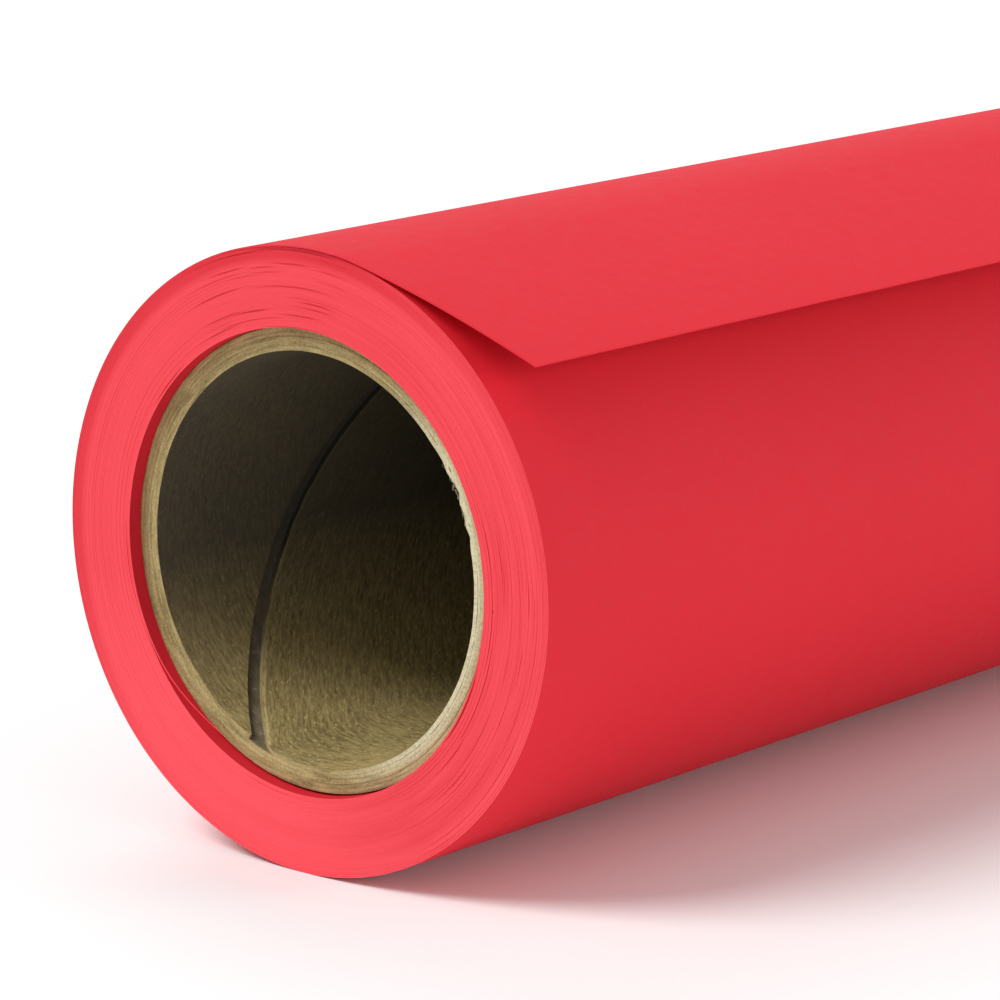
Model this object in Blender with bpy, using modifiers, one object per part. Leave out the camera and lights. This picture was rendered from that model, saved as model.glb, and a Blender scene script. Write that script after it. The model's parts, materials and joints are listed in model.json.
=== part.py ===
"""A roll of seamless backdrop paper on a spiral-wound board core.

The roll lies along X with its middle at the origin, so its axis is the X axis. Angles round the
roll are counted in degrees from the top (+Z) towards -Y, which is the way the paper is wound on.
The paper is one web. Its last turn and its free end are split from the wound pack where they
move: the end of the web stands off the roll as four strips, each hinged on the one before it.
"""

import math

import bpy

# The paper web
ROLL_WIDTH = 1.346
ROLL_RADIUS = 0.0432
PAPER = 0.00024
GAP = 0.0003

# The core tube, which has slid a little along the roll
CORE_RADIUS = 0.03175
BORE_RADIUS = 0.028575
CORE_SHIFT = 0.002
PLIES = 5
PLY_GAP = 0.00025
PLY_NAMES = ("core_liner_ply", "core_body_ply_1", "core_body_ply_2", "core_body_ply_3", "core_outer_ply")
LINER_PITCH = 0.1477
LINER_SEAM = 0.0028
LINER_SEAM_AT_TOP = 0.0693

# The free end of the web, from the line where it leaves the roll to its edge
TAIL_ROOT = 14.0
TAIL_LENGTH = 0.032
TAIL_DROOP = 8.0
STRIPS = 4

# The tape that holds the first edge of the web on the core
TAPE = 0.00012
TAPE_WIDTH = 0.024
TAPE_INSET = 0.012
TAPE_AT = 200.0
TAPE_RELIEF = 0.0004
TAPE_TO_CORE = 0.00025

# Facets
TURN = 360.0
WEB_STEP = 5.0
CORE_SIDES = 40

ALONG_X = (math.pi / 2, 0.0, math.pi / 2)
RED = (0.75, 0.04, 0.06, 1.0)
KRAFT = (0.30, 0.24, 0.13, 1.0)
CREAM = (0.72, 0.68, 0.55, 1.0)


def at_angle(radius, degrees):
    """The (y, z) of a point at a radius and an angle from the top towards -Y."""
    angle = math.radians(degrees)
    return (-radius * math.sin(angle), radius * math.cos(angle))


def span(start, end, step):
    """Angles from start to end, both included, no further apart than step."""
    count = max(1, math.ceil((end - start) / step - 1e-9))
    return [start + (end - start) * i / count for i in range(count + 1)]


def web_radius(degrees):
    """The mid-thickness radius of the last turn, which ends at the tail's root."""
    turns_back = (TAIL_ROOT - degrees) / TURN
    return ROLL_RADIUS - PAPER / 2 - (PAPER + GAP) * turns_back


def arc_degrees(length, radius):
    """The angle that an arc of this length takes up."""
    return math.degrees(length / radius)


def material(name, colour, roughness):
    """A plain non-metal material."""
    made = bpy.data.materials.new(name)
    made.use_nodes = True
    shader = made.node_tree.nodes["Principled BSDF"]
    shader.inputs["Base Color"].default_value = colour
    shader.inputs["Roughness"].default_value = roughness
    shader.inputs["Metallic"].default_value = 0.0
    return made


def curve_along_x(name, loops, closed, length, collection, finish):
    """Outlines given as (y, z) points, drawn out along X about the object's own origin."""
    data = bpy.data.curves.new(name, "CURVE")
    data.dimensions = "2D" if closed else "3D"
    data.fill_mode = "BOTH" if closed else "FULL"
    data.extrude = length / 2
    for loop in loops:
        spline = data.splines.new("POLY")
        spline.points.add(len(loop) - 1)
        for point, (y, z) in zip(spline.points, loop):
            point.co = (y, z, 0.0, 1.0)
        spline.use_cyclic_u = closed
    made = bpy.data.objects.new(name, data)
    made.rotation_euler = ALONG_X
    data.materials.append(finish)
    collection.objects.link(made)
    return made


def sheet_along_x(name, points, thickness, length, collection, finish):
    """A thin sheet whose mid-thickness line runs through the (y, z) points."""
    made = curve_along_x(name, [points], False, length, collection, finish)
    shell = made.modifiers.new("thickness", "SOLIDIFY")
    shell.thickness = thickness
    shell.offset = 0.0
    shell.use_even_offset = True
    return made


def circle(radius):
    """The (y, z) corners of a core ply's surface."""
    return [at_angle(radius, TURN * i / CORE_SIDES) for i in range(CORE_SIDES)]


def ply_radii(index):
    """The inner and outer radius of a core ply, counted from the bore outwards."""
    thickness = (CORE_RADIUS - BORE_RADIUS - PLY_GAP * (PLIES - 1)) / PLIES
    inner = BORE_RADIUS + index * (thickness + PLY_GAP)
    return inner, inner + thickness


def make_tube_ply(index, collection):
    """A ply whose butt seam is closed, so it is a plain tube."""
    inner, outer = ply_radii(index)
    name = PLY_NAMES[index]
    finish = material(name, KRAFT, 0.9)
    ply = curve_along_x(name, [circle(outer), circle(inner)], True, ROLL_WIDTH, collection, finish)
    ply.location.x = CORE_SHIFT
    return ply


def make_core_trim(collection):
    """The saw cuts at both ends of the core, as the block that stays between them."""
    bpy.ops.mesh.primitive_cube_add(size=1.0, location=(CORE_SHIFT, 0.0, 0.0))
    block = bpy.context.object
    block.name = "core_trim"
    block.scale = (ROLL_WIDTH, 4 * CORE_RADIUS, 4 * CORE_RADIUS)
    block.hide_render = True
    block.display_type = "WIRE"
    for holder in list(block.users_collection):
        holder.objects.unlink(block)
    collection.objects.link(block)
    return block


def make_liner_ply(collection, cutters):
    """The innermost ply: one board strip wound as a helix, with an open seam between its turns."""
    inner, outer = ply_radii(0)
    turns = math.ceil(ROLL_WIDTH / LINER_PITCH) + 3
    near_end = -ROLL_WIDTH / 2
    start = near_end + LINER_SEAM_AT_TOP - 2 * LINER_PITCH
    radius = (inner + outer) / 2
    width = LINER_PITCH - LINER_SEAM
    data = bpy.data.meshes.new("core_liner_ply")
    data.from_pydata([(start, 0.0, radius), (start + width, 0.0, radius)], [(0, 1)], [])
    ply = bpy.data.objects.new("core_liner_ply", data)
    data.materials.append(material("core_liner_ply", KRAFT, 0.9))
    collection.objects.link(ply)
    helix = ply.modifiers.new("helix", "SCREW")
    helix.axis = "X"
    helix.angle = math.tau
    helix.screw_offset = LINER_PITCH
    helix.iterations = turns
    helix.steps = CORE_SIDES
    helix.render_steps = CORE_SIDES
    helix.use_merge_vertices = False
    shell = ply.modifiers.new("thickness", "SOLIDIFY")
    shell.thickness = outer - inner
    shell.offset = 0.0
    shell.use_even_offset = True
    trim = ply.modifiers.new("trim", "BOOLEAN")
    trim.operation = "INTERSECT"
    trim.solver = "EXACT"
    trim.object = make_core_trim(cutters)
    return ply


def make_core(collection, cutters):
    """The plies of the core, from the bore outwards."""
    make_liner_ply(collection, cutters)
    for index in range(1, PLIES):
        make_tube_ply(index, collection)


def make_wound_pack(collection):
    """All the inner turns of the web as one ring, stepped where its last layer comes off it."""
    outer_loop = [
        at_angle(web_radius(angle) - PAPER / 2 - GAP, angle)
        for angle in span(TAIL_ROOT - TURN, TAIL_ROOT, WEB_STEP)
    ]
    relief = arc_degrees(TAPE_WIDTH, CORE_RADIUS) / 2 + 2 * arc_degrees(GAP, CORE_RADIUS)
    bore = CORE_RADIUS + GAP
    inner_loop = [
        at_angle(bore + TAPE_RELIEF, angle)
        for angle in span(TAPE_AT - relief, TAPE_AT + relief, WEB_STEP)
    ]
    inner_loop += [
        at_angle(bore, angle)
        for angle in span(TAPE_AT + relief, TAPE_AT + TURN - relief, WEB_STEP)
    ]
    finish = material("wound_pack", RED, 0.85)
    return curve_along_x("wound_pack", [outer_loop, inner_loop], True, ROLL_WIDTH, collection, finish)


def make_start_tape(collection):
    """The tape that holds the web's first edge on the core. It stops short of the roll's ends."""
    radius = CORE_RADIUS + TAPE_TO_CORE + TAPE / 2
    half = arc_degrees(TAPE_WIDTH, radius) / 2
    points = [at_angle(radius, angle) for angle in span(TAPE_AT - half, TAPE_AT + half, WEB_STEP)]
    finish = material("start_tape", CREAM, 0.6)
    return sheet_along_x("start_tape", points, TAPE, ROLL_WIDTH - 2 * TAPE_INSET, collection, finish)


def make_outer_turn(collection):
    """The last full turn of the web, from the pack's step round to the tail's root."""
    play = arc_degrees(GAP, ROLL_RADIUS)
    start = TAIL_ROOT - TURN + play
    end = TAIL_ROOT - play / 2
    points = [at_angle(web_radius(angle), angle) for angle in span(start, end, WEB_STEP)]
    finish = material("outer_turn", RED, 0.85)
    return sheet_along_x("outer_turn", points, PAPER, ROLL_WIDTH, collection, finish)


def tail_points():
    """The (y, z) of the tail's hinge lines from its root outwards, then of its free edge."""
    y, z = at_angle(web_radius(TAIL_ROOT), TAIL_ROOT)
    points = [(y, z)]
    for index in range(STRIPS):
        slope = math.radians(TAIL_ROOT + TAIL_DROOP * (index + 0.5) / STRIPS)
        y -= TAIL_LENGTH / STRIPS * math.cos(slope)
        z -= TAIL_LENGTH / STRIPS * math.sin(slope)
        points.append((y, z))
    return points


def between(start, end, share):
    """The point this share of the way from start to end."""
    return tuple(a + (b - a) * share for a, b in zip(start, end))


def make_tail(collection):
    """The tail's strips. Each has its origin on its hinge line, on the strip before it."""
    hinges = tail_points()
    clear = GAP / 2 / (TAIL_LENGTH / STRIPS)
    before = None
    for index in range(STRIPS):
        root, tip = hinges[index], hinges[index + 1]
        reach = (tip[0] - root[0], tip[1] - root[1])
        end = 1.0 if index == STRIPS - 1 else 1.0 - clear
        points = [between((0.0, 0.0), reach, clear), between((0.0, 0.0), reach, end)]
        name = f"tail_strip_{index + 1}"
        strip = sheet_along_x(name, points, PAPER, ROLL_WIDTH, collection, material(name, RED, 0.85))
        if before:
            previous = hinges[index - 1]
            strip.parent = before
            strip.rotation_euler = (0.0, 0.0, 0.0)
            strip.location = (root[0] - previous[0], root[1] - previous[1], 0.0)
        else:
            strip.location = (0.0, root[0], root[1])
        before = strip


def make_collection(name):
    """A collection in the scene."""
    made = bpy.data.collections.new(name)
    bpy.context.scene.collection.children.link(made)
    return made


def main():
    """Clears the scene and makes the roll."""
    for old in list(bpy.data.objects):
        bpy.data.objects.remove(old, do_unlink=True)
    parts = make_collection("backdrop_paper_roll")
    cutters = make_collection("cutters")
    make_core(parts, cutters)
    make_start_tape(parts)
    make_wound_pack(parts)
    make_outer_turn(parts)
    make_tail(parts)


main()
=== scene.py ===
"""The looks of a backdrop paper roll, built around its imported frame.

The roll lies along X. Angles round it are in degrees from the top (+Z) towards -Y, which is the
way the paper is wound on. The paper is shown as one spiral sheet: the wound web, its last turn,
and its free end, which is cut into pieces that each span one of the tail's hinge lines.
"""

import json
import math

import bpy
import numpy as np
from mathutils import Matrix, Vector


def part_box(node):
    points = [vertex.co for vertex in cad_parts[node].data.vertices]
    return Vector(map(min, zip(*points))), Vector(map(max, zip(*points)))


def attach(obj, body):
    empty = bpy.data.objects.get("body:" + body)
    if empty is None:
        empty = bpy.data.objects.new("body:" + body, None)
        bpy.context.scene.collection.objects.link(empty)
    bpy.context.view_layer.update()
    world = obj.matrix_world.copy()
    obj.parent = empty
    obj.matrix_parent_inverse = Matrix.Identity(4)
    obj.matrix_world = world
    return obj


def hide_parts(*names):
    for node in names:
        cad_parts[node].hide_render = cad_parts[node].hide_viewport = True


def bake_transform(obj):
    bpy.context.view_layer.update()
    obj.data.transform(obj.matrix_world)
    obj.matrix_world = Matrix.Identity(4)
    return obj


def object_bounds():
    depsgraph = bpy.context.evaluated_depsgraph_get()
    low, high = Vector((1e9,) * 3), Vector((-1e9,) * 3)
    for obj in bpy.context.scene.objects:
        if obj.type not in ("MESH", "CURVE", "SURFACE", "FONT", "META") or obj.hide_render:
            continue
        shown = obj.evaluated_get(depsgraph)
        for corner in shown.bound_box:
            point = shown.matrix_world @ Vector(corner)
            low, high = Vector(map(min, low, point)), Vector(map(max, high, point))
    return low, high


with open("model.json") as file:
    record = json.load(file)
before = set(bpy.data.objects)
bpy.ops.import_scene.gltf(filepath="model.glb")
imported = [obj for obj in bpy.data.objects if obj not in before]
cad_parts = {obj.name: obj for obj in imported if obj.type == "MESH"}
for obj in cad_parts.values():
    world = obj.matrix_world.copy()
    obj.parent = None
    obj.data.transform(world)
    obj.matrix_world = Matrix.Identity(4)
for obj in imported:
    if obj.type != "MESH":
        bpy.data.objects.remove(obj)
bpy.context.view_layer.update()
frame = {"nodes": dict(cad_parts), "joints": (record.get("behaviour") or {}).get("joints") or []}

MM = 0.001
TURN = 360.0

# The camera, from the middle of the roll's near end
CAMERA_FROM_END = Vector((-0.4503, -0.4116, 0.1437))
CAMERA_AHEAD = Vector((0.7487, 0.6267, -0.2161))
LENS = 169.1

# The light's strengths
ROOM = 0.49
KEY = 2.15
FILL = 1.0
BACK = 0.7

# The paper. LOOSENESS is the air between turns, and each turn has a tiny bevel at its cut ends:
# EDGE_SHARE is what is left of its thickness there.
TURNS = 46
LOOSENESS = 0.003 * MM
EDGE_BEVEL = 0.02 * MM
EDGE_SHARE = 0.99
FIRST_CORNER = 3.0 * MM
UNDULATION = 0.05 * MM

# The last turn stands a little off the ones below where it comes away from them, and there it has
# also slipped along the roll
LAST_TURN_LIFT = 0.28 * MM
LAST_TURN_SLIP = 0.4 * MM

# Pulling in a cut end moves only this much of the sheet next to it
END_DEPTH = 6.0 * MM

# The turns from the core outwards that the start tape still lifts
TAPE_TURNS = 44

# How finely the paper is divided: stations for each wound turn, degrees between those of the last
# turn, the columns' spacing, and steps for each piece of the free end
WEB_STATIONS = 96
WRAP_STEP = 1.5
COLUMN = 14.0 * MM
TAIL_STEPS = 12

# How much the free end's slope changes from its root to its edge, in degrees
TAIL_DROOP = 8.0

# The core's liner: its helix, its open seam, and where the seam crosses the top of the bore
LINER_PITCH = 147.7 * MM
SEAM = 2.8 * MM
SEAM_AT_TOP = 69.3 * MM
LINER_STEP = 3.0
CORE_STEP = 1.5
GLUE_LINE = 0.008 * MM

# Damage to the core, in degrees from the top: the torn stretch of the rim, the nick in the sawn
# end, and the flake that has come off the seam's edge
TORN_FROM = 55.0
TORN_TO = 73.0
NICK_AT = -49.0
FLAKE_FROM = -127.0
FLAKE_TO = -114.0

# How far from the ends of the core the painted shade in the upper part of the bore also darkens cut
# edges: it begins at the first and is whole past the second
PAINTED_SHADE_FROM = 5 * MM
PAINTED_SHADE_WHOLE = 9 * MM


# Numbers that vary smoothly and come out the same each run

def hashed(i, j, seed):
    """A repeatable number from -1 to 1 for each pair of whole numbers."""
    n = (i * 374761393 + j * 668265263 + seed * 362437) & 0xFFFFFFFF
    n = ((n ^ (n >> 13)) * 1274126177) & 0xFFFFFFFF
    n = n ^ (n >> 16)
    return n / 0x7FFFFFFF - 1.0


def noise(u, v, seed):
    """Smooth noise from -1 to 1 that changes over about one unit of u or v."""
    u, v = np.broadcast_arrays(np.asarray(u, float), np.asarray(v, float))
    i, j = np.floor(u).astype(np.int64), np.floor(v).astype(np.int64)
    a, b = u - i, v - j
    a, b = a * a * (3 - 2 * a), b * b * (3 - 2 * b)
    low = hashed(i, j, seed) * (1 - a) + hashed(i + 1, j, seed) * a
    high = hashed(i, j + 1, seed) * (1 - a) + hashed(i + 1, j + 1, seed) * a
    return low * (1 - b) + high * b


def rough(u, v, seed, octaves=3):
    """Noise with finer and weaker noise on it."""
    return sum(noise(u * 2**k, v * 2**k, seed + k) / 2**k for k in range(octaves))


def ramp(value, low, high):
    """0 below low, 1 above high, smooth between."""
    t = np.clip((value - low) / (high - low), 0, 1)
    return t * t * (3 - 2 * t)


def window(value, low, high, soft):
    """1 between low and high, fading to 0 over soft outside them."""
    return ramp(value, low - soft, low) * (1 - ramp(value, high, high + soft))


# Places, from the frame

def at_angle(radius, degrees):
    """The y and z of points at a radius and an angle from the top towards -Y."""
    angle = np.radians(degrees)
    return np.stack([-radius * np.sin(angle), radius * np.cos(angle)], -1)


def radii(node):
    """The smallest and largest distance of a CAD node's corners from the roll's axis."""
    away = [math.hypot(v.co.y, v.co.z) for v in frame["nodes"][node].data.vertices]
    return min(away), max(away)


def hinge(index):
    """The y and z of one of the tail's hinge lines."""
    return np.array(frame["joints"][index]["pos_m"][1:], float)


def middle_angle(node):
    """The angle of the middle of a CAD node that is on one side of the axis."""
    y, z = np.array([(v.co.y, v.co.z) for v in frame["nodes"][node].data.vertices]).mean(0)
    return math.degrees(math.atan2(-y, z)) % TURN


def span_of(node):
    """The angle that a CAD node takes up round the axis."""
    corners = [(v.co.y, v.co.z) for v in frame["nodes"][node].data.vertices]
    angles = [math.degrees(math.atan2(-y, z)) % TURN for y, z in corners]
    return max(angles) - min(angles)


NEAR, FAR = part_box("wound_pack")[0].x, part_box("wound_pack")[1].x
CORE_NEAR, CORE_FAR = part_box("core_outer_ply")[0].x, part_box("core_outer_ply")[1].x
BORE = radii("core_liner_ply")[0]
CORE = radii("core_outer_ply")[1]
ROOT = math.degrees(math.atan2(-hinge(0)[0], hinge(0)[1]))
TOP = float(np.linalg.norm(hinge(0)))
STRIP = float(np.linalg.norm(hinge(1) - hinge(0)))
STRIPS = len(frame["joints"])
TAPE_TOP = radii("start_tape")[1]
TAPE_AT = middle_angle("start_tape")
TAPE_HALF = span_of("start_tape") / 2

# The web's turns, from its first edge over the middle of the tape to the tail's root
WOUND = TURNS + ((ROOT - TAPE_AT) / TURN) % 1.0
PITCH = (TOP - LAST_TURN_LIFT - CORE - LOOSENESS) / (WOUND + 0.5)
SHEET = PITCH - LOOSENESS
PLIES = ["core_body_ply_1", "core_body_ply_2", "core_body_ply_3", "core_outer_ply"]
PLY = (CORE - BORE) / (len(PLIES) + 1)


# Meshes

def volume_of(points, faces):
    """The signed volume inside the faces, which have four corners each."""
    a, b, c, d = (points[faces[:, k]] for k in range(4))
    return float((a * np.cross(b, c)).sum() + (a * np.cross(c, d)).sum()) / 6


def end_caps(index):
    """The faces that close a sheet's first and last loop. index holds the points' numbers."""
    across = index.shape[1]
    out = np.arange(across // 2 - 1)
    back = across - 1 - out
    caps = [np.stack([row[out], row[back], row[back - 1], row[out + 1]], -1) for row in index[[0, -1]]]
    return np.vstack([caps[0], caps[1][:, ::-1]])


def solid(name, loops, ring, materials, second=None):
    """A closed body from rows of closed loops of points. ring joins the last row to the first,
    and otherwise the ends are capped, as each loop goes out along one side of a sheet and back
    along the other. second says which faces of a loop take the second material."""
    rows, across = loops.shape[:2]
    index = np.arange(rows * across).reshape(rows, across)
    here = index if ring else index[:-1]
    ahead = np.roll(index, -1, 0)[: len(here)]
    faces = np.stack([here, np.roll(here, -1, 1), np.roll(ahead, -1, 1), ahead], -1)
    kinds = np.zeros(faces.shape[:2], int)
    if second is not None:
        kinds[:, second] = 1
    faces, kinds = faces.reshape(-1, 4), kinds.ravel()
    if not ring:
        caps = end_caps(index)
        faces = np.vstack([faces, caps])
        kinds = np.append(kinds, np.full(len(caps), 0 if second is None else 1))
    points = loops.reshape(-1, 3)
    if volume_of(points, faces) < 0:
        faces = faces[:, ::-1]
    data = bpy.data.meshes.new(name)
    data.from_pydata(points.tolist(), [], faces.tolist())
    for finish in materials:
        data.materials.append(finish)
    data.polygons.foreach_set("material_index", kinds.astype(np.int32))
    data.shade_smooth()
    data.set_sharp_from_angle(angle=math.radians(35))
    made = bpy.data.objects.new(name, data)
    bpy.context.scene.collection.objects.link(made)
    return made


def set_grain(piece, values):
    """Stores a vector for each point, which the board's materials read: the distances along and
    across the grain, and from the liner's seam."""
    grain = piece.data.attributes.new("grain", "FLOAT_VECTOR", "POINT")
    grain.data.foreach_set("vector", values.astype(np.float32).ravel())


def sheet_loops(middles, facings, columns, thickness, near_edge, far_edge):
    """Loops round a sheet's cross-section along X, one for each station along the web.
    middles are the mid-thickness (y, z) for each station and column, facings the angles that
    the sheet's outer face looks towards, columns the x places, and the edges how far each end
    is pulled in."""
    stations = len(middles)
    x = np.tile(columns, (stations, 1))
    share = np.clip((x - NEAR) / END_DEPTH, 0, 1)
    x = x + near_edge[:, None] * (1 - share)
    share = np.clip((FAR - x) / END_DEPTH, 0, 1)
    x = x - far_edge[:, None] * (1 - share)
    half = np.full(len(columns), thickness / 2)
    half[[0, -1]] *= EDGE_SHARE
    normal = at_angle(1.0, facings)[:, None, :]
    sides = []
    for sign in (1, -1):
        yz = middles + normal * (sign * half)[None, :, None]
        sides.append(np.concatenate([x[..., None], yz], -1))
    return np.concatenate([sides[0], sides[1][:, ::-1]], 1)


def edge_faces(columns):
    """The two faces of a sheet's loop that are its cut edges."""
    return [columns - 1, 2 * columns - 1]


# Materials

class Graph:
    """A material's nodes. Inputs given as sockets are linked, and others are set."""

    def __init__(self, name):
        self.material = bpy.data.materials.new(name)
        self.material.use_nodes = True
        self.tree = self.material.node_tree
        self.shader = self.tree.nodes["Principled BSDF"]

    def add(self, kind, inputs=None, **settings):
        """Adds a node. inputs maps socket names or numbers to values or sockets."""
        node = self.tree.nodes.new("ShaderNode" + kind)
        for key, value in settings.items():
            setattr(node, key, value)
        self.feed(node, inputs or {})
        return node

    def feed(self, node, inputs):
        """Sets or links a node's inputs."""
        for key, value in inputs.items():
            if isinstance(value, bpy.types.NodeSocket):
                self.tree.links.new(value, node.inputs[key])
            else:
                node.inputs[key].default_value = value

    def math(self, operation, a, b=0.0):
        """A Math node's result."""
        return self.add("Math", {0: a, 1: b}, operation=operation).outputs[0]

    def noise(self, where, scale, detail=2.0, roughness=0.5):
        """Noise from 0 to 1 with features of about 1/scale metres."""
        inputs = {"Vector": where, "Scale": scale, "Detail": detail, "Roughness": roughness}
        return self.add("TexNoise", inputs).outputs["Fac"]

    def range(self, value, low, high, to_low, to_high):
        """value moved from one range to another, and held inside it."""
        inputs = {0: value, 1: low, 2: high, 3: to_low, 4: to_high}
        return self.add("MapRange", inputs).outputs[0]

    def mix(self, share, a, b):
        """A colour between a and b."""
        node = self.add("Mix", data_type="RGBA", clamp_factor=True)
        self.feed(node, {0: share, 6: a, 7: b})
        return node.outputs[2]

    def stretched(self, where, scales):
        """The coordinates multiplied by a scale for each axis."""
        return self.add("VectorMath", {0: where, 1: scales}, operation="MULTIPLY").outputs[0]

    def dot(self, a, b):
        """The dot product of two vectors."""
        return self.add("VectorMath", {0: a, 1: b}, operation="DOT_PRODUCT").outputs["Value"]

    def polar(self, where):
        """The distance from the X axis, and the direction from it as a unit vector."""
        flat = self.stretched(where, (0.0, 1.0, 1.0))
        radius = self.add("VectorMath", {0: flat}, operation="LENGTH").outputs["Value"]
        return radius, self.add("VectorMath", {0: flat}, operation="NORMALIZE").outputs[0]

    def rings(self, radius, polar, fineness, arcs):
        """Coordinates that change quickly with the radius and slowly with the direction."""
        ring = self.add("CombineXYZ", {0: self.math("MULTIPLY", radius, fineness)}).outputs[0]
        around = self.stretched(polar, (arcs, arcs, arcs))
        return self.add("VectorMath", {0: ring, 1: around}, operation="ADD").outputs[0]

    def bump(self, height, distance, strength=1.0, under=None):
        """A normal raised by height times distance."""
        inputs = {"Height": height, "Distance": distance, "Strength": strength}
        if under is not None:
            inputs["Normal"] = under
        return self.add("Bump", inputs).outputs["Normal"]

    def finish(self, colour, roughness, normal, specular=0.3):
        """Joins the results to the shader and returns the material."""
        self.feed(self.shader, {"Base Color": colour, "Roughness": roughness, "Normal": normal})
        self.shader.inputs["Specular IOR Level"].default_value = specular
        return self.material


def paper_face():
    """The matte face of the dyed paper: faint clouds, short fibres and a fine tooth."""
    g = Graph("paper_face")
    where = g.add("TexCoord").outputs["Object"]
    clouds = g.noise(where, 28.0, 3.0)
    formation = g.noise(where, 420.0, 3.0, 0.6)
    fibres = g.noise(g.stretched(where, (900.0, 2600.0, 2600.0)), 1.0, 2.0)
    tooth = g.noise(where, 5200.0, 2.0, 0.6)
    shade = g.range(clouds, 0.3, 0.7, 0.0, 0.35)
    shade = g.math("ADD", shade, g.range(formation, 0.3, 0.7, 0.0, 0.4))
    shade = g.math("ADD", shade, g.range(fibres, 0.35, 0.65, 0.0, 0.25))
    colour = g.mix(shade, (0.655, 0.0145, 0.0280, 1.0), (0.705, 0.0185, 0.0345, 1.0))
    roughness = g.range(formation, 0.3, 0.7, 0.66, 0.78)
    relief = g.math("ADD", g.math("MULTIPLY", fibres, 0.6), g.math("MULTIPLY", tooth, 0.4))
    normal = g.bump(relief, 0.02 * MM, 0.5)
    return g.finish(colour, roughness, normal, 0.2)


def paper_edge():
    """The cut edges of the turns, with faint rings. Their colours are lighter and whiter than the
    face's, partly the edges' own colour and partly a painted sheen. A painted highlight makes them
    brightest at the lower left, the base tone is dimmer towards -Y as painted shade, and the outermost
    turns carry painted shade at the upper left."""
    g = Graph("paper_edge")
    where = g.add("TexCoord").outputs["Object"]
    radius, polar = g.polar(where)
    rings = g.noise(g.rings(radius, polar, 2600.0, 2.2), 1.0, 2.0, 0.6)
    bands = g.noise(g.rings(radius, polar, 420.0, 1.2), 1.0, 2.0)
    streaks = g.range(rings, 0.3, 0.6, -0.07, 0.07)
    streaks = g.math("ADD", streaks, g.range(bands, 0.35, 0.65, -0.12, 0.12))
    side = g.dot(polar, (0.0, 1.0, 0.0))
    streaks = g.math("MULTIPLY", streaks, g.range(side, -0.5, 0.5, 1.0, 0.35))
    # Painted light: a painted highlight brightens the edges towards the lower left, and the base tone
    # is set lower towards -Y as painted shade.
    painted_highlight_lobe = g.range(g.dot(polar, (0.0, 0.42, -0.91)), 0.55, 0.95, 0.0, 0.36)
    shade = g.math("ADD", g.range(side, -0.5, 0.6, 0.55, 0.64), painted_highlight_lobe)
    # Painted shade on the outermost turns, strongest at the upper left; towards the lower right the
    # same term gives a slight painted lightening.
    outer_painted_shade = g.math("ADD", g.dot(polar, (0.0, 0.262, 0.262)), 0.22)
    outer_painted_shade = g.math("MULTIPLY", outer_painted_shade, g.range(radius, 40.4 * MM, 41.3 * MM, 0.0, 1.0))
    shade = g.math("ADD", g.math("SUBTRACT", shade, outer_painted_shade), streaks)
    # These colours are lighter and whiter than the face's: partly the edges' own colour, partly a
    # painted sheen.
    colour = g.mix(shade, (0.668, 0.034, 0.048, 1.0), (0.905, 0.090, 0.114, 1.0))
    cells = g.add("TexVoronoi", {"Vector": where, "Scale": 330.0, "Randomness": 1.0})
    chosen = g.range(cells.outputs["Color"], 0.10, 0.09, 0.0, 1.0)
    speck = g.math("MULTIPLY", g.range(cells.outputs["Distance"], 0.11, 0.06, 0.0, 0.7), chosen)
    colour = g.mix(speck, colour, (0.26, 0.012, 0.022, 1.0))
    roughness = g.range(rings, 0.3, 0.7, 0.78, 0.95)
    tooth = g.noise(where, 4200.0, 2.0)
    normal = g.bump(g.math("ADD", rings, g.math("MULTIPLY", tooth, 0.5)), 0.010 * MM, 0.30)
    return g.finish(colour, roughness, normal, 0.1)


def board_face(name, dark, light):
    """The faces of the core's board: kraft with streaks of fibre along each strip, pale at the
    seam's lip, and painted shade that darkens the upper part of the bore."""
    g = Graph(name)
    grain = g.add("Attribute", attribute_name="grain").outputs["Vector"]
    streaks = g.noise(g.stretched(grain, (260.0, 1700.0, 1.0)), 1.0, 3.0, 0.55)
    threads = g.noise(g.stretched(grain, (700.0, 3000.0, 1.0)), 1.0, 2.0, 0.6)
    blotches = g.noise(g.stretched(grain, (55.0, 80.0, 1.0)), 1.0, 3.0)
    chips = g.noise(g.stretched(grain, (900.0, 2400.0, 1.0)), 1.0, 1.0)
    shade = g.range(streaks, 0.36, 0.64, 0.0, 0.5)
    shade = g.math("ADD", shade, g.range(threads, 0.36, 0.64, 0.0, 0.4))
    shade = g.math("ADD", shade, g.range(blotches, 0.3, 0.7, -0.15, 0.25))
    colour = g.mix(shade, dark, light)
    from_seam = g.add("SeparateXYZ", {0: grain}).outputs[2]
    lip = g.range(from_seam, 0.75 * MM, 0.35 * MM, 0.0, 1.0)
    lip = g.math("MULTIPLY", lip, g.range(threads, 0.35, 0.55, 0.4, 1.0))
    colour = g.mix(lip, colour, (0.78, 0.64, 0.30, 1.0))
    pale = tuple(min(1.0, 1.6 * c) for c in light)
    colour = g.mix(g.range(chips, 0.60, 0.72, 0.0, 0.5), colour, pale)
    # Painted shade: the colour is darkened towards the top of the bore, with the blotches breaking up
    # its edge.
    height = g.add("SeparateXYZ", {0: g.add("TexCoord").outputs["Object"]}).outputs[2]
    painted_shade = g.math("ADD", height, g.range(blotches, 0.3, 0.7, -2 * MM, 2 * MM))
    colour = g.mix(g.range(painted_shade, -25 * MM, -4 * MM, 0.0, 0.86), colour, (0.052, 0.050, 0.045, 1.0))
    roughness = g.range(streaks, 0.3, 0.7, 0.78, 0.96)
    relief = g.math("ADD", g.math("MULTIPLY", streaks, 0.6), g.math("MULTIPLY", threads, 0.4))
    return g.finish(colour, roughness, g.bump(relief, 0.12 * MM, 0.55), 0.12)


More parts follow.
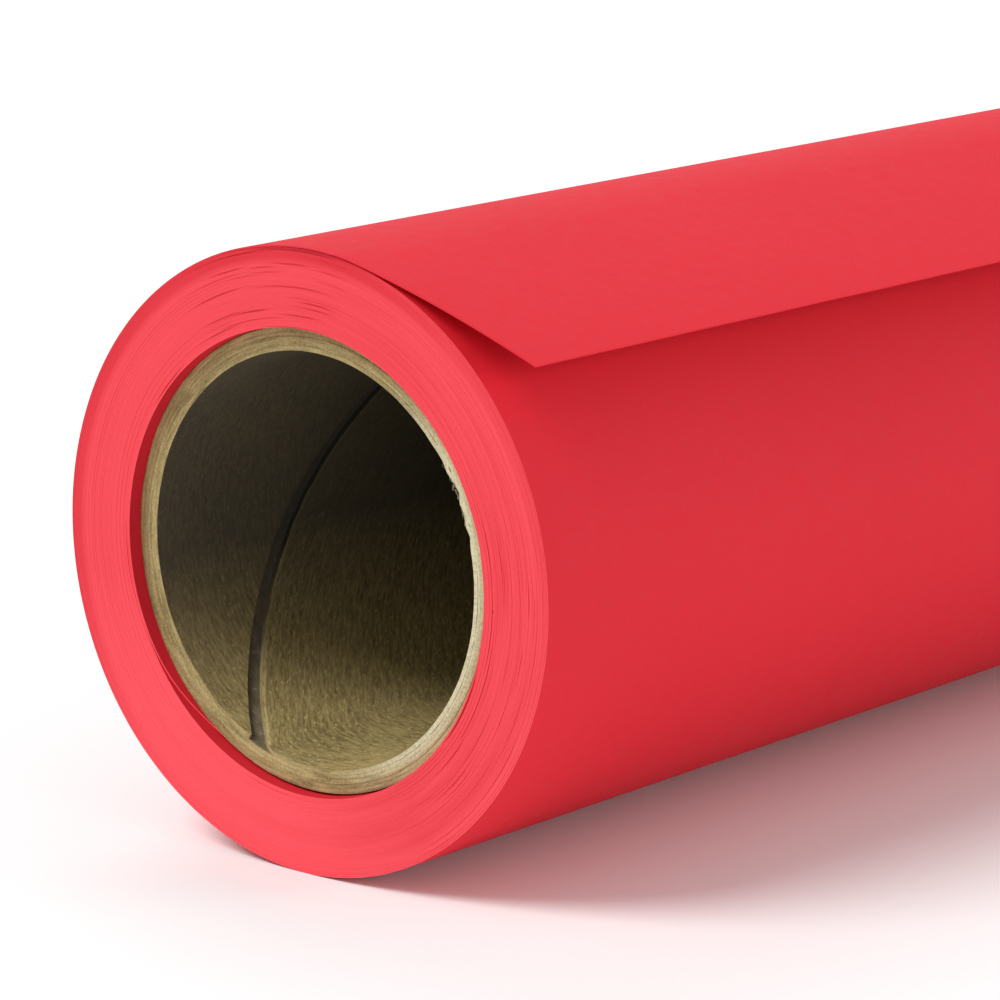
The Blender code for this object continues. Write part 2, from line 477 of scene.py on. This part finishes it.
def board_cut():
    """The sawn and torn edges of the board: rings of fibre, paler where they are fluffed up, a painted
    highlight along the inner part of the rim on the -Y side, and painted shade in the upper part of
    the bore away from its ends."""
    g = Graph("board_cut")
    grain = g.add("Attribute", attribute_name="grain").outputs["Vector"]
    where = g.add("TexCoord").outputs["Object"]
    radius, polar = g.polar(where)
    rings = g.noise(g.rings(radius, polar, 2300.0, 6.0), 1.0, 2.0, 0.6)
    fluff = g.noise(where, 2600.0, 3.0, 0.65)
    patches = g.noise(g.stretched(grain, (120.0, 120.0, 120.0)), 1.0, 2.0)
    shade = g.range(rings, 0.36, 0.64, 0.0, 0.5)
    shade = g.math("ADD", shade, g.range(fluff, 0.34, 0.66, 0.0, 0.45))
    shade = g.math("ADD", shade, g.range(patches, 0.35, 0.7, -0.15, 0.2))
    colour = g.mix(shade, (0.200, 0.152, 0.062, 1.0), (0.500, 0.395, 0.185, 1.0))
    # Painted highlight: the inner part of the rim on the -Y side is mixed towards a pale colour,
    # broken up by the fluff.
    side = g.dot(polar, (0.0, -0.98, -0.17))
    inner = g.range(radius, 30.6 * MM, 29.2 * MM, 0.25, 1.0)
    pale = g.math("MULTIPLY", g.range(side, 0.30, 0.75, 0.0, 1.0), inner)
    pale = g.math("MULTIPLY", pale, g.range(fluff, 0.3, 0.6, 0.45, 0.95))
    colour = g.mix(pale, colour, (0.66, 0.63, 0.42, 1.0))
    roughness = g.range(fluff, 0.3, 0.7, 0.8, 0.98)
    # Painted shade: cut edges more than a few millimetres inside the ends are darkened towards the top
    # of the bore.
    place = g.add("SeparateXYZ", {0: where})
    from_middle = g.math("ABSOLUTE", place.outputs[0])
    inside = g.range(from_middle, FAR - PAINTED_SHADE_FROM, FAR - PAINTED_SHADE_WHOLE, 0.0, 1.0)
    painted_shade = g.math("MULTIPLY", inside, g.range(place.outputs[2], -22 * MM, -6 * MM, 0.0, 0.97))
    colour = g.mix(painted_shade, colour, (0.026, 0.024, 0.020, 1.0))
    relief = g.math("ADD", g.math("MULTIPLY", rings, 0.4), g.math("MULTIPLY", fluff, 0.6))
    return g.finish(colour, roughness, g.bump(relief, 0.14 * MM, 0.6), 0.12)


def tape_film():
    """The start tape: cream crepe paper with fine cross ribs."""
    g = Graph("tape_film")
    where = g.add("TexCoord").outputs["Object"]
    ribs = g.noise(g.stretched(where, (3000.0, 300.0, 300.0)), 1.0, 2.0)
    colour = g.mix(ribs, (0.66, 0.61, 0.47, 1.0), (0.78, 0.74, 0.62, 1.0))
    return g.finish(colour, g.range(ribs, 0.3, 0.7, 0.5, 0.7), g.bump(ribs, 0.03 * MM, 0.5))


def floor_paint():
    """A plain pale studio floor."""
    g = Graph("floor_paint")
    where = g.add("TexCoord").outputs["Object"]
    cloud = g.noise(where, 3.0, 2.0)
    colour = g.mix(cloud, (0.90, 0.90, 0.90, 1.0), (0.93, 0.93, 0.93, 1.0))
    return g.finish(colour, g.range(cloud, 0.3, 0.7, 0.85, 0.9), g.bump(cloud, 0.1 * MM, 0.1), 0.1)


# The paper

def edge_pull(angles, turns, seed):
    """How far each station's end is pulled in from the end plane. The turns are nearly even, but
    in two sectors some have slipped in a little, which shows as thin dark arcs."""
    place = np.mod(angles + 180.0, TURN) - 180.0
    uneven = 1.3 * window(place, -24.0, 6.0, 10.0)
    uneven = uneven + 0.75 * window(place, 80.0, 140.0, 14.0)
    slipped = ramp(noise(turns * 0.9, angles / 13.0, seed), 0.25, 0.95) * (0.04 + uneven)
    drift = 0.5 + 0.5 * noise(turns / 7.0, angles / 200.0, seed + 1)
    return (0.11 * slipped + 0.06 * drift + 0.01) * MM


def web_radius(turns):
    """The mid-thickness radius, this many turns back from the tail's root, where the last turn
    comes off the ones below."""
    return TOP - PITCH * turns - LAST_TURN_LIFT * ramp(turns, 0.0, 0.07)


def last_turn_slip(lengths):
    """How far the last turn has slipped along the roll, this far from the tail's root."""
    return LAST_TURN_SLIP * ramp(lengths, -26 * MM, -4 * MM)


def over_tape(turns, angles, columns):
    """How far the turns near the core are lifted where they pass over the start tape."""
    place = np.mod(angles - TAPE_AT + 180.0, TURN) - 180.0
    lift = (TAPE_TOP - CORE) * window(place, -TAPE_HALF, TAPE_HALF, 12.0)
    lift = lift * np.clip(1 - (WOUND - turns) / TAPE_TURNS, 0, 1)
    inside = np.minimum(columns - NEAR, FAR - columns) > END_DEPTH / 2
    return lift[:, None] * inside


def end_columns():
    """The x places where a wound turn has points: close together at both cut edges."""
    near = [NEAR, NEAR + EDGE_BEVEL, NEAR + END_DEPTH]
    return np.array(near + [FAR - END_DEPTH, FAR - EDGE_BEVEL, FAR])


def sheet_columns():
    """The x places for a turn that shows: evenly spread as well, so that it can undulate."""
    inner = np.linspace(NEAR + END_DEPTH, FAR - END_DEPTH, round((FAR - NEAR) / COLUMN))
    return np.concatenate([[NEAR, NEAR + EDGE_BEVEL], inner, [FAR - EDGE_BEVEL, FAR]])


def make_wound_web(materials):
    """Every turn of the web but the last, as one spiral sheet."""
    last = math.floor(WOUND * WEB_STATIONS)
    turns = np.append(WOUND, np.arange(last, WEB_STATIONS - 1, -1) / WEB_STATIONS)
    angles = ROOT - TURN * turns
    columns = end_columns()
    radius = web_radius(turns)[:, None] + over_tape(turns, angles, columns)
    middles = at_angle(radius, angles[:, None])
    frayed = 0.25 * MM * window(turns, WOUND - 2.2, WOUND + 1, 1.5)
    frayed = frayed * ramp(noise(angles / 24.0, 0.5, 41), 0.0, 0.6)
    corner = FIRST_CORNER * (1 - ramp(WOUND - turns, 0.0, 0.12))
    near_edge = edge_pull(angles, turns, 11) + frayed + corner
    loops = sheet_loops(middles, angles, columns, SHEET, near_edge, edge_pull(angles, turns, 23))
    web = solid("paper_web", loops, False, materials, edge_faces(len(columns)))
    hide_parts("wound_pack")
    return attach(web, "roll")


def undulation(along, around, seed):
    """The slight waves of a free sheet, in metres off its true surface."""
    return UNDULATION * rough(along / (120.0 * MM), around / (35.0 * MM), seed, 2)


def waved(middles, facings, columns, lengths, strength, seed):
    """Each station's middle at each column, moved by the sheet's undulation."""
    lift = undulation(columns[None, :], lengths[:, None], seed) * strength[:, None]
    return middles[:, None, :] + at_angle(1.0, facings)[:, None, :] * lift[..., None]


def wrap_stations(start, end):
    """Middles, facings and lengths from the tail's root, negative towards the wound web, for
    stations on the last turn. start and end are in turns back from the root."""
    turns = np.linspace(start, end, max(2, round((start - end) * TURN / WRAP_STEP) + 1))
    angles = ROOT - TURN * turns
    radius = web_radius(turns)
    return at_angle(radius, angles), angles, -2 * math.pi * turns * TOP


def tail_stations(start, end):
    """The same for stations on the free end, from start to end metres beyond the root."""
    length = np.linspace(start, end, TAIL_STEPS + 1)
    slope = ROOT + TAIL_DROOP * length / (STRIP * STRIPS)
    bend = STRIP * STRIPS / math.radians(TAIL_DROOP)
    middles = hinge(0) + at_angle(bend, slope) - at_angle(bend, ROOT)
    return middles, slope, length


def make_sheet(name, middles, facings, lengths, materials, cut=None):
    """One stretch of the last turn or the free end. cut says which faces of its loops take the
    second material."""
    columns = sheet_columns()
    strength = 0.25 + 0.75 * ramp(lengths, -40 * MM, 20 * MM)
    surface = waved(middles, facings, columns, lengths, strength, 5)
    slip = last_turn_slip(lengths)
    near_edge = 0.05 * MM * (0.5 + 0.5 * noise(lengths / (9.0 * MM), 0.4, 7)) - slip
    far_edge = 0.05 * MM * (0.5 + 0.5 * noise(lengths / (9.0 * MM), 0.4, 9)) + slip
    loops = sheet_loops(surface, facings, columns, SHEET, near_edge, far_edge)
    return solid(name, loops, False, materials, cut)


def trim_edge(piece, facing):
    """Gives the free edge of the web the slight raggedness of a torn-off or knife-cut end."""
    reach = at_angle(1.0, facing + 90.0)
    co = np.array([v.co for v in piece.data.vertices], float)
    along = co[:, 1:] @ reach
    last = ramp(along, along.max() - 1.2 * MM, along.max())
    ragged = rough(co[:, 0] / (7.0 * MM), 0.5, 31, 4) * 0.07 * MM
    co[:, 1:] += reach * (ragged * last)[:, None]
    piece.data.vertices.foreach_set("co", co.astype(np.float32).ravel())
    piece.data.update()


def make_outer_wrap(materials):
    """The last turn, up to where the free end's first piece takes over."""
    middles, angles, lengths = wrap_stations(1.0, STRIP / 2 / (2 * math.pi * TOP))
    cut = edge_faces(len(sheet_columns()))
    wrap = make_sheet("paper_outer_wrap", middles, angles, lengths, materials, cut)
    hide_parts("outer_turn")
    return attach(wrap, "roll")


def make_tail(materials):
    """The free end, in pieces that meet in the middle of the tail's strips."""
    made = []
    for index in range(STRIPS):
        start, end = (index - 0.5) * STRIP, (index + 0.5) * STRIP
        if index == 0:
            before = wrap_stations(-start / (2 * math.pi * TOP), 0.0)
            after = tail_stations(0.0, end)
            stations = [np.concatenate([b, a[1:]]) for b, a in zip(before, after)]
        else:
            stations = tail_stations(start, end)
        piece = make_sheet(f"paper_tail_{index + 1}", *stations, materials)
        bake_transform(piece)
        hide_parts(f"tail_strip_{index + 1}")
        made.append(piece)
    middles, facings, lengths = tail_stations((STRIPS - 0.5) * STRIP, STRIPS * STRIP)
    edge = make_sheet("paper_tail_edge", middles, facings, lengths, materials)
    trim_edge(edge, facings[-1])
    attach(edge, frame["joints"][-1]["child"])
    return made + [edge]


def make_paper():
    """The whole web: the wound turns, the last turn and the free end."""
    materials = [paper_face(), paper_edge()]
    web = make_wound_web(materials)
    others = [make_outer_wrap(materials)] + make_tail(materials)


# The core

def rim_relief(angles, depth, seed):
    """How far a sawn end of the board is in from its plane, at angles and a depth in the wall."""
    fuzz = rough(angles / 1.1, depth / (0.25 * MM), seed, 3)
    saw = noise(angles / 14.0, depth / (2.0 * MM), seed + 5)
    nick = np.exp(-(((angles - NICK_AT) / 2.0) ** 2)) * window(depth, 1.0 * MM, 2.2 * MM, 0.3 * MM)
    return 0.035 * MM * (fuzz + 1.2) + 0.05 * MM * (saw + 1.0) + 0.6 * MM * nick


def make_ply(index, materials):
    """A body ply or the outer ply of the core, as a ring with sawn ends."""
    inner = BORE + (index + 1) * PLY + GLUE_LINE / 2
    outer = inner + PLY - GLUE_LINE
    angles = np.arange(-180.0, 180.0, CORE_STEP)
    across = np.array([0.0, 0.18, 0.5, 0.82, 1.0])
    radius = inner + (outer - inner) * across
    dip = 0.035 * MM * np.array([1.0, 0.15, 0.0, 0.15, 1.0])
    step = 0.04 * MM * hashed(np.int64(index), np.int64(3), 77)
    depth = radius - BORE
    near = CORE_NEAR + rim_relief(angles[:, None], depth[None, :], 51) + dip + step + 0.05 * MM
    far = CORE_FAR - rim_relief(angles[:, None], depth[None, :], 67) - dip - step - 0.05 * MM
    walls = np.tile([CORE_NEAR + 3 * MM, CORE_FAR - 3 * MM], (len(angles), 1))
    x = np.concatenate([near, walls, far[:, ::-1], walls[:, ::-1]], 1)
    around = np.concatenate([radius, [outer, outer], radius[::-1], [inner, inner]])
    yz = at_angle(around[None, :], angles[:, None])
    loops = np.concatenate([x[..., None], yz], -1)
    rims = [0, 1, 2, 3, 7, 8, 9, 10]
    ply = solid(f"core_tube_ply_{index + 1}", loops, True, materials, rims)
    along = np.radians(angles)[:, None] * around[None, :]
    set_grain(ply, np.stack([along, around[None, :] + 0.3 * (x - NEAR), x - NEAR], -1))
    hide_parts(PLIES[index])
    return ply


def torn(angles):
    """How strongly the bore's rim is torn at an angle, from 0 to 1."""
    return window(np.mod(angles + 180.0, TURN) - 180.0, TORN_FROM, TORN_TO, 6.0)


def liner_edges():
    """The liner's stations: their angles along the helix, the x of its two edges at each, and 1
    where the lower edge is at the open seam, or 0 where it is the sawn end."""
    start = NEAR + SEAM_AT_TOP - 2 * LINER_PITCH
    turns = (CORE_FAR - start) / LINER_PITCH
    angles = np.arange(0.0, turns * TURN, LINER_STEP)
    low = start + LINER_PITCH * angles / TURN
    high = low + LINER_PITCH - SEAM
    ragged = rough(angles / 2.0, 0.5, 83, 3)
    low_edge = low + 0.09 * MM * ragged + 0.12 * MM * noise(angles / 21.0, 0.5, 89)
    high_edge = high + 0.08 * MM * rough(angles / 3.0, 0.5, 97, 2)
    rim = rim_relief(np.mod(angles + 180, TURN) - 180, 0.2 * MM, 51)
    tear = torn(angles) * (0.3 + 0.3 * rough(angles / 3.0, 0.5, 101, 3)) * MM
    near = CORE_NEAR + rim + 0.02 * MM + tear
    far = CORE_FAR - rim - 0.02 * MM
    keep = (high_edge > near + 0.2 * MM) & (low_edge < far - 0.2 * MM)
    low_cut = np.maximum(low_edge, near)[keep]
    high_cut = np.minimum(high_edge, far)[keep]
    at_seam = np.where(low_cut > near[keep], 1.0, 0.0)
    return angles[keep], low_cut, high_cut, at_seam


def liner_wall(angles, from_low, from_high, x, at_seam):
    """The radius of the liner's inner face: slightly wavy, with a raised lip along the seam that
    has a flake missing."""
    wavy = 0.05 * MM * rough(angles[:, None] / 20.0, x / (18.0 * MM), 103, 3)
    wavy = wavy * np.clip(np.minimum(from_low, from_high) / (4 * MM), 0.2, 1)
    lip = 0.10 * MM * np.exp(-from_low / (0.4 * MM)) * at_seam[:, None]
    lip = lip * (1.0 + 0.6 * rough(angles / 3.0, 0.2, 107, 3))[:, None]
    flake = window(angles - 2 * TURN, FLAKE_FROM, FLAKE_TO, 2.5)[:, None]
    flake = 0.16 * MM * flake * window(from_low, 0.45 * MM, 1.1 * MM, 0.3 * MM)
    return BORE + 0.03 * MM + wavy - lip + flake


def make_liner(materials):
    """The innermost ply: a board strip wound as a helix, with an open seam between its turns."""
    angles, low_cut, high_cut, at_seam = liner_edges()
    share = np.array([0, 0.001, 0.0025, 0.0045, 0.008, 0.016, 0.04, 0.09, 0.17, 0.28, 0.4, 0.5])
    share = np.concatenate([share, 1 - share[-2::-1]])
    x = low_cut[:, None] + (high_cut - low_cut)[:, None] * share
    from_low, from_high = x - low_cut[:, None], high_cut[:, None] - x
    inner = liner_wall(angles, from_low, from_high, x, at_seam)
    outer = np.full_like(x, BORE + PLY - GLUE_LINE)
    sides = [np.concatenate([x[..., None], at_angle(r, angles[:, None])], -1) for r in (inner, outer)]
    loops = np.concatenate([sides[0], sides[1][:, ::-1]], 1)
    liner = solid("core_tube_liner", loops, False, materials, edge_faces(len(share)))
    helix = math.hypot(LINER_PITCH, 2 * math.pi * BORE)
    along = np.radians(angles)[:, None] * helix / (2 * math.pi) + 0 * x
    across = from_low * 2 * math.pi * BORE / helix
    from_seam = across + 10 * MM * (1 - at_seam[:, None])
    grain = np.stack([along, across, from_seam], -1)
    back = grain[:, ::-1] + np.array([0.0, PLY, 0.0])
    set_grain(liner, np.concatenate([grain, back], 1))
    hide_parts("core_liner_ply")
    return liner


def fibre(start, direction, curl, length, thick):
    """The loops of one loose fibre: a thin tapering thread that curls as it goes."""
    rows = []
    point, heading = Vector(start), Vector(direction).normalized()
    side = heading.orthogonal().normalized()
    steps = 6
    for k in range(steps + 1):
        up = heading.cross(side).normalized()
        width = thick * (1.0 - 0.75 * k / steps)
        across, above = side * width, up * width
        rows.append([point + across, point + above, point - across, point - above])
        point = point + heading * (length / steps)
        heading = (heading + Vector(curl) * (1.0 / steps)).normalized()
        side = (side - heading * side.dot(heading)).normalized()
    return np.array([[list(p) for p in row] for row in rows])


def make_fibres(materials):
    """Loose fibres on the torn part of the rim and along the seam's near stretch, as one piece."""
    draw = np.random.default_rng(5)
    made = []
    spots = [("rim", draw.uniform(TORN_FROM, TORN_TO)) for _ in range(60)]
    spots += [("rim", draw.uniform(-180, 180)) for _ in range(70)]
    spots += [("seam", draw.uniform(-161.0, -20.0)) for _ in range(120)]
    for number, (kind, angle) in enumerate(spots):
        outward = at_angle(1.0, angle)
        tangent = at_angle(1.0, angle + 90.0)
        if kind == "rim":
            y, z = at_angle(BORE + draw.uniform(-0.05, 0.3) * MM, angle)
            x = CORE_NEAR + draw.uniform(0.1, 0.5) * MM
            lean = (draw.uniform(-0.3, 0.5), *(-0.35 * outward + draw.choice([-1.0, 1.0]) * tangent))
            length = draw.uniform(0.25, 0.8) * MM
        else:
            y, z = at_angle(BORE + draw.uniform(0.0, 0.2) * MM, angle)
            x = NEAR + SEAM_AT_TOP + LINER_PITCH * angle / TURN + draw.uniform(-0.05, 0.2) * MM
            lean = (draw.uniform(-0.7, 0.2), *(-0.3 * outward + draw.choice([-1.0, 1.0]) * tangent))
            length = draw.uniform(0.3, 1.1) * MM
        curl = draw.uniform(-0.9, 0.9, 3)
        loops = fibre((x, y, z), lean, curl, length, draw.uniform(0.012, 0.028) * MM)
        made.append(solid(f"fibre_{number}", loops, False, materials))
    joined = made[0]
    chosen = {"active_object": joined, "selected_editable_objects": made, "selected_objects": made}
    with bpy.context.temp_override(**chosen):
        bpy.ops.object.join()
    joined.name = "core_loose_fibres"
    set_grain(joined, np.array([v.co for v in joined.data.vertices], float))
    return joined


def make_core():
    """The plies of the core, from the outer one to the liner, and the fibres on its edges."""
    face = board_face("board_face", (0.185, 0.139, 0.054, 1.0), (0.530, 0.408, 0.168, 1.0))
    glued = board_face("board_glued", (0.130, 0.104, 0.066, 1.0), (0.250, 0.200, 0.130, 1.0))
    cut = board_cut()
    made = [make_ply(0, [glued, cut])]
    made += [make_ply(index, [face, cut]) for index in range(1, len(PLIES))]
    made.append(make_liner([face, cut]))
    made.append(make_fibres([cut]))
    for piece in made:
        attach(piece, "roll")


def finish_tape():
    """The start tape keeps its CAD shape, under the first turn."""
    tape = frame["nodes"]["start_tape"]
    tape.data.materials.clear()
    tape.data.materials.append(tape_film())


# The studio

def make_floor():
    """A pale floor under the roll's lowest point."""
    bpy.ops.mesh.primitive_plane_add(size=14.0, location=(0.0, 0.0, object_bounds()[0].z - 0.05 * MM))
    floor = bpy.context.object
    floor.name = "studio_floor"
    floor.data.materials.append(floor_paint())


def make_light(name, source, strength, spread):
    """A distant soft light that comes from the direction of source. A wide spread is softer."""
    data = bpy.data.lights.new(name, "SUN")
    data.energy = strength
    data.angle = math.radians(spread)
    made = bpy.data.objects.new(name, data)
    made.rotation_euler = Vector(source).to_track_quat("Z", "Y").to_euler()
    bpy.context.scene.collection.objects.link(made)


def make_room():
    """A dim white room for the light, which the camera sees as plain white."""
    world = bpy.data.worlds.new("studio")
    bpy.context.scene.world = world
    world.use_nodes = True
    tree = world.node_tree
    background = tree.nodes["Background"]
    background.inputs["Color"].default_value = (1.0, 1.0, 1.0, 1.0)
    seen = tree.nodes.new("ShaderNodeLightPath")
    strength = tree.nodes.new("ShaderNodeMapRange")
    strength.inputs[3].default_value = ROOM
    strength.inputs[4].default_value = 1.0
    tree.links.new(seen.outputs["Is Camera Ray"], strength.inputs[0])
    tree.links.new(strength.outputs[0], background.inputs["Strength"])


def make_studio():
    """Plain soft light: a dim room, a key from the upper left, a low fill from the right, and a
    back light that skims the top."""
    make_room()
    make_light("key", (-1.6, 0.9, 2.2), KEY, 28.0)
    make_light("fill", (1.6, -2.6, 0.62), FILL, 24.0)
    make_light("back", (1.5, 1.9, 2.1), BACK, 40.0)
    bpy.context.scene.view_settings.view_transform = "Standard"


def make_camera():
    """The camera looks at the near end from its left and a little above."""
    data = bpy.data.cameras.new("camera")
    data.lens = LENS
    data.clip_start = 0.01
    camera = bpy.data.objects.new("camera", data)
    camera.location = Vector((NEAR, 0.0, 0.0)) + CAMERA_FROM_END
    camera.rotation_euler = CAMERA_AHEAD.to_track_quat("-Z", "Y").to_euler()
    bpy.context.scene.collection.objects.link(camera)
    bpy.context.scene.camera = camera


make_camera()
make_paper()
make_core()
finish_tape()
make_floor()
make_studio()
